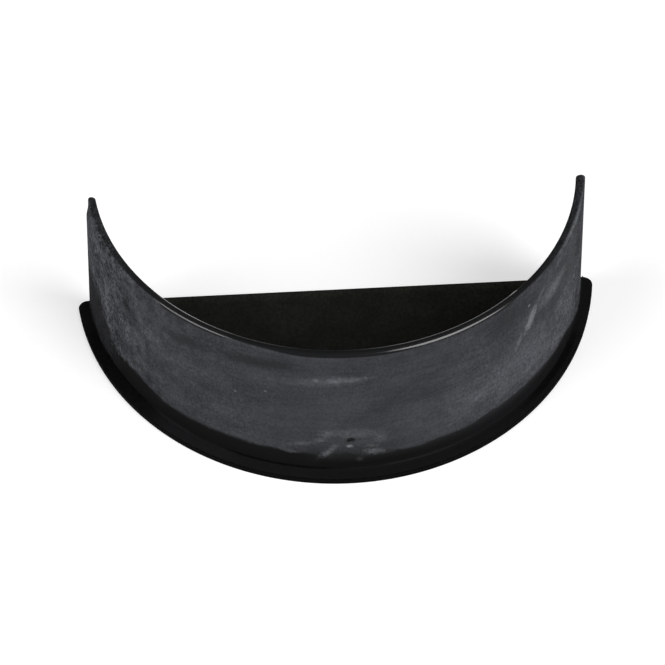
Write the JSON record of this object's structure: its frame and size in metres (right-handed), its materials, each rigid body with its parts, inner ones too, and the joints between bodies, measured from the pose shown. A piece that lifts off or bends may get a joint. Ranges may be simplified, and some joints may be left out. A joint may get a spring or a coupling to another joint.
{
  "type": "gutter end cap",
  "caption": "Half-round gutter end cap: a segment-shaped closing plate with a leaning push-in wall set back from its rim, which seals the open end of a gutter.",
  "frame": {"origin": "centre of the piece's base box, on the outer face of the closing plate", "axes": "+Z from the outer face into the gutter along the gutter's axis, +X along the straight edge, -Y to the bottom of the gutter"},
  "size_m": [0.112, 0.0486, 0.0353],
  "materials": {
    "black_plastic": "semi-matte moulded black plastic with faint flow marks and dust"
  },
  "bodies": {
    "root": {"end_cap": "black_plastic"}
  },
  "joints": []
}
